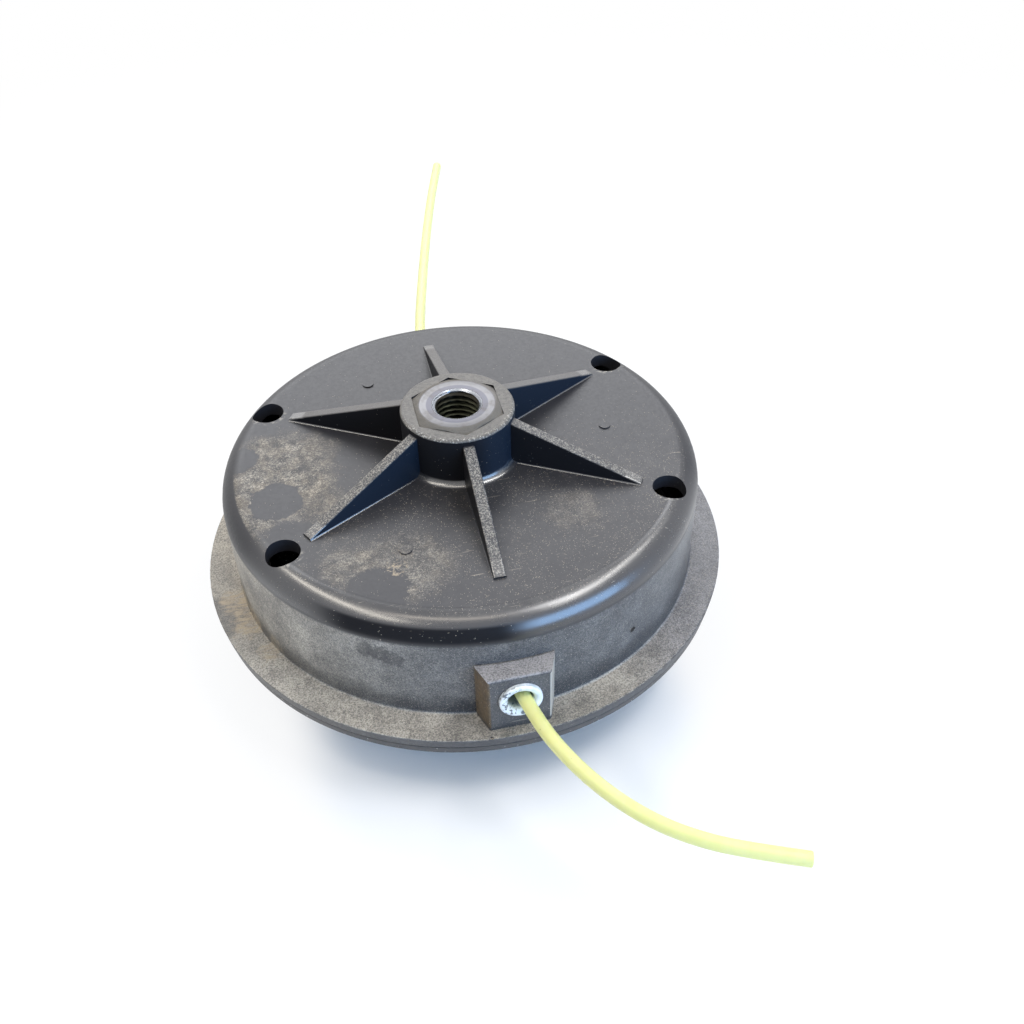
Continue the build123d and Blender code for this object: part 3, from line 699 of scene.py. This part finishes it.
def threaded_insert():
    """The insert's mesh, as rings from the outside bottom up, over the face and down the bore."""
    columns = INSERT_COLUMNS
    top, bottom = insert_high[2], insert_low[2]
    shoulder = top - INSERT_HEAD
    groove = (bottom + shoulder) / 2
    corner = INSERT_APOTHEM / cos(pi / 6)
    slope = INSERT_CORNER_DROP / (corner - INSERT_FACE)
    turns = [2 * pi * column / columns for column in range(columns)]

    def hexagon(turn):
        return INSERT_APOTHEM / cos((turn + pi / 2) % (pi / 3) - pi / 6)

    def ring(radius_at, height_at):
        return [(radius_at(t) * cos(t), radius_at(t) * sin(t), height_at(t)) for t in turns]

    def round_ring(radius, height):
        return ring(lambda t: radius, lambda t: height)

    def thread(turn, height):
        phase = ((height - bottom) / THREAD_PITCH - turn / (2 * pi)) % 1.0
        flank = max(0.0, min(1.0, THREAD_SLOPE * (1.0 - abs(2.0 * phase - 1.0)) - THREAD_FLAT))
        cone = max(COUNTERSINK - (top - height), COUNTERSINK - (height - bottom), 0.0)
        return max(THREAD_MINOR + (THREAD_MAJOR - THREAD_MINOR) * flank, THREAD_MINOR + cone)

    rings = [
        round_ring(SHANK_RADIUS, bottom),
        round_ring(SHANK_RADIUS, groove - GROOVE_WIDTH / 2),
        round_ring(GROOVE_RADIUS, groove - GROOVE_WIDTH / 2),
        round_ring(GROOVE_RADIUS, groove + GROOVE_WIDTH / 2),
        round_ring(SHANK_RADIUS, groove + GROOVE_WIDTH / 2),
        round_ring(SHANK_RADIUS, shoulder),
        ring(hexagon, lambda t: shoulder),
        ring(hexagon, lambda t: top - slope * (hexagon(t) - INSERT_FACE)),
        round_ring(INSERT_FACE, top),
    ]
    rows = THREAD_ROWS * round((top - bottom) / THREAD_PITCH)
    for row in range(rows + 1):
        height = top - (top - bottom) * row / rows
        rings.append(ring(lambda t: thread(t, height), lambda t: height))
    points = [point for loop in rings for point in loop]
    faces = ring_faces(len(rings), columns)
    last = (len(rings) - 1) * columns
    faces += [(last + c, last + (c + 1) % columns, (c + 1) % columns, c) for c in range(columns)]
    piece = new_mesh("threaded_insert", points, faces, "insert_steel", "housing")
    piece.data.set_sharp_from_angle(angle=radians(32))
    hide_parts("hex_insert")


threaded_insert()


def rim_band(name, profile, slot):
    """A thin ring turned from a profile of radius and height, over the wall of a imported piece."""
    columns = RIM_COLUMNS
    turns = [2 * pi * column / columns for column in range(columns)]
    loop = profile + profile[:1]
    points = [(r * MM * cos(t), r * MM * sin(t), z * MM) for r, z in loop for t in turns]
    piece = new_mesh(name, points, ring_faces(len(loop), columns), slot, "housing")
    piece.data.set_sharp_from_angle(angle=radians(50))


rim_band("flange_wall", FLANGE_WALL, "housing_nylon")
rim_band("cover_wall", COVER_WALL, "cover_nylon")


def coil_spring():
    """The spring's mesh: a tube along a helix whose end turns lie flat."""
    low, high = SPRING_LOW, SPRING_HIGH
    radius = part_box("spring")[1][0] - SPRING_WIRE / 2
    start, end = low + SPRING_WIRE / 2, high - SPRING_WIRE / 2
    count = int(SPRING_TURNS * SPRING_STEPS) + 1
    points = []
    for index in range(count):
        turn = index / SPRING_STEPS
        share = (turn - SPRING_END_TURNS) / (SPRING_TURNS - 2 * SPRING_END_TURNS)
        share = min(1.0, max(0.0, share))
        height = start + (end - start) * share
        angle = 2 * pi * turn
        for side in range(WIRE_SIDES):
            around = 2 * pi * side / WIRE_SIDES
            reach = radius + cos(around) * SPRING_WIRE / 2
            points.append((reach * cos(angle), reach * sin(angle), height + sin(around) * SPRING_WIRE / 2))
    faces = ring_faces(count, WIRE_SIDES)
    faces.append(tuple(range(WIRE_SIDES)))
    faces.append(tuple(reversed(range((count - 1) * WIRE_SIDES, count * WIRE_SIDES))))
    piece = new_mesh("coil_spring", points, faces, "spring_steel", "housing")
    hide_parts("spring")
    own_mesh(piece)


coil_spring()


def free_line(name, route, node):
    """A free line end: a smooth curve through the part's route, cut square at its far end."""
    curve = bpy.data.curves.new(name, "CURVE")
    curve.dimensions = "3D"
    curve.bevel_depth = LINE_DIAMETER / 2
    curve.bevel_resolution = 6
    curve.resolution_u = 16
    curve.use_fill_caps = True
    spline = curve.splines.new("NURBS")
    spline.points.add(len(route) - 1)
    for point, place in zip(spline.points, route):
        point.co = (*(value * MM for value in place), 1.0)
    spline.order_u = 3
    spline.use_endpoint_u = True
    curve.materials.append(materials["line_nylon"])
    piece = bpy.data.objects.new(name, curve)
    bpy.context.scene.collection.objects.link(piece)
    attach(piece, "housing")
    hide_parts(node)


free_line("front_free_line", FRONT_ROUTE, "front_line")
free_line("rear_free_line", REAR_ROUTE, "rear_line")


# Stage: pale floor, faint sky, a softbox behind, strips overhead and a cool window at the front right
LIGHT_AIM = Vector((0, 0, 0.03))
FLOOR_HALF = 3.0


def seen_directly(tree):
    """1 for camera, glossy and transmission rays, which see the plain white setting."""
    paths = tree.nodes.new("ShaderNodeLightPath")
    seen = paths.outputs["Is Camera Ray"]
    for kind in ("Is Glossy Ray", "Is Transmission Ray"):
        either = tree.nodes.new("ShaderNodeMath")
        either.operation = "MAXIMUM"
        tree.links.new(seen, either.inputs[0])
        tree.links.new(paths.outputs[kind], either.inputs[1])
        seen = either.outputs[0]
    return seen


def floor():
    """A wide pale floor that keeps the shadow in front of the head; elsewhere it glows with painted light
    that washes out the shadow, and it is plain white farther off.
    """
    half = FLOOR_HALF
    corners = [(-half, -half, 0), (half, -half, 0), (half, half, 0), (-half, half, 0)]
    mesh = bpy.data.meshes.new("floor")
    mesh.from_pydata(corners, [], [(0, 1, 2, 3)])
    s = Surface("floor_paper")
    tint = s.mix(s.noise(0.25, 2.0), FLOOR_PAPER, FLOOR_PALE)
    s.set(Base_Color=tint, Roughness=0.9, Specular_IOR_Level=0.2)
    painted_glow = s.add("ShaderNodeEmission")
    # Painted light: the floor glows all round except in front, where the shadow is kept
    in_front = s.product(
        s.near((4 * MM, -40 * MM, 0.0), 76 * MM, soft=0.25),
        s.step(s.math("ABSOLUTE", s.x), 50 * MM, 28 * MM),
    )
    far_off = s.step(s.radius(), 0.15, 0.40, 0.0, 0.16)
    painted_glow_share = s.total(s.step(in_front, 0.0, 1.0, 0.84, 0.08), far_off)
    blend = s.add("ShaderNodeMixShader")
    s.put(blend.inputs[0], s.math("MULTIPLY", seen_directly(s.tree), painted_glow_share))
    s.put(blend.inputs[1], s.shader.outputs[0])
    s.put(blend.inputs[2], painted_glow.outputs[0])
    s.put(s.tree.nodes["Material Output"].inputs["Surface"], blend.outputs[0])
    mesh.materials.append(s.material)
    piece = bpy.data.objects.new("floor", mesh)
    bpy.context.scene.collection.objects.link(piece)


def area_light(name, place, width, depth, power, colour):
    """A soft rectangular light at a place, turned to the head."""
    lamp = bpy.data.lights.new(name, "AREA")
    lamp.shape = "RECTANGLE"
    lamp.size = width
    lamp.size_y = depth
    lamp.energy = power
    lamp.color = colour
    piece = bpy.data.objects.new(name, lamp)
    piece.location = place
    piece.rotation_euler = (LIGHT_AIM - Vector(place)).to_track_quat("-Z", "Y").to_euler()
    bpy.context.scene.collection.objects.link(piece)


def sky():
    """Faint light from all round, white where it is seen."""
    world = bpy.data.worlds.new("sky")
    world.use_nodes = True
    tree = world.node_tree
    shade = tree.nodes["Background"]
    shade.inputs["Color"].default_value = (0.64, 0.81, 1.0, 1.0)
    shade.inputs["Strength"].default_value = 0.32
    white = tree.nodes.new("ShaderNodeBackground")
    white.inputs["Color"].default_value = (1.0, 1.0, 1.0, 1.0)
    white.inputs["Strength"].default_value = 1.0
    blend = tree.nodes.new("ShaderNodeMixShader")
    tree.links.new(seen_directly(tree), blend.inputs[0])
    tree.links.new(shade.outputs[0], blend.inputs[1])
    tree.links.new(white.outputs[0], blend.inputs[2])
    tree.links.new(blend.outputs[0], tree.nodes["World Output"].inputs["Surface"])
    bpy.context.scene.world = world


def camera():
    """The photograph's camera."""
    lens = bpy.data.cameras.new("camera")
    lens.lens = CAMERA_LENS
    lens.sensor_width = CAMERA_SENSOR
    lens.clip_start = 0.01
    piece = bpy.data.objects.new("camera", lens)
    axes = Matrix((CAMERA_RIGHT, CAMERA_UP, CAMERA_BACK)).transposed()
    piece.matrix_world = Matrix.Translation(CAMERA_PLACE) @ axes.to_4x4()
    bpy.context.scene.collection.objects.link(piece)
    bpy.context.scene.camera = piece


floor()
sky()
area_light("softbox", (0.10, 1.45, 1.06), 2.0, 1.1, 27.0, (0.95, 0.965, 1.0))
area_light("left_strip", (-0.52, -0.05, 0.80), 0.9, 0.13, 3.6, (1.0, 0.93, 0.82))
area_light("right_strip", (0.46, -0.10, 0.82), 0.8, 0.12, 3.2, (1.0, 0.98, 0.95))
area_light("front_strip", (-0.12, -0.21, 0.80), 0.45, 0.12, 0.8, (1.0, 0.90, 0.78))
area_light("front_patch", (0.30, -0.20, 0.80), 0.22, 0.18, 1.3, (1.0, 0.99, 1.0))
area_light("cool_window", (0.56, -0.91, 0.25), 1.0, 0.65, 12.5, (0.30, 0.57, 1.0))
camera()

bpy.context.scene.view_settings.view_transform = "Standard"
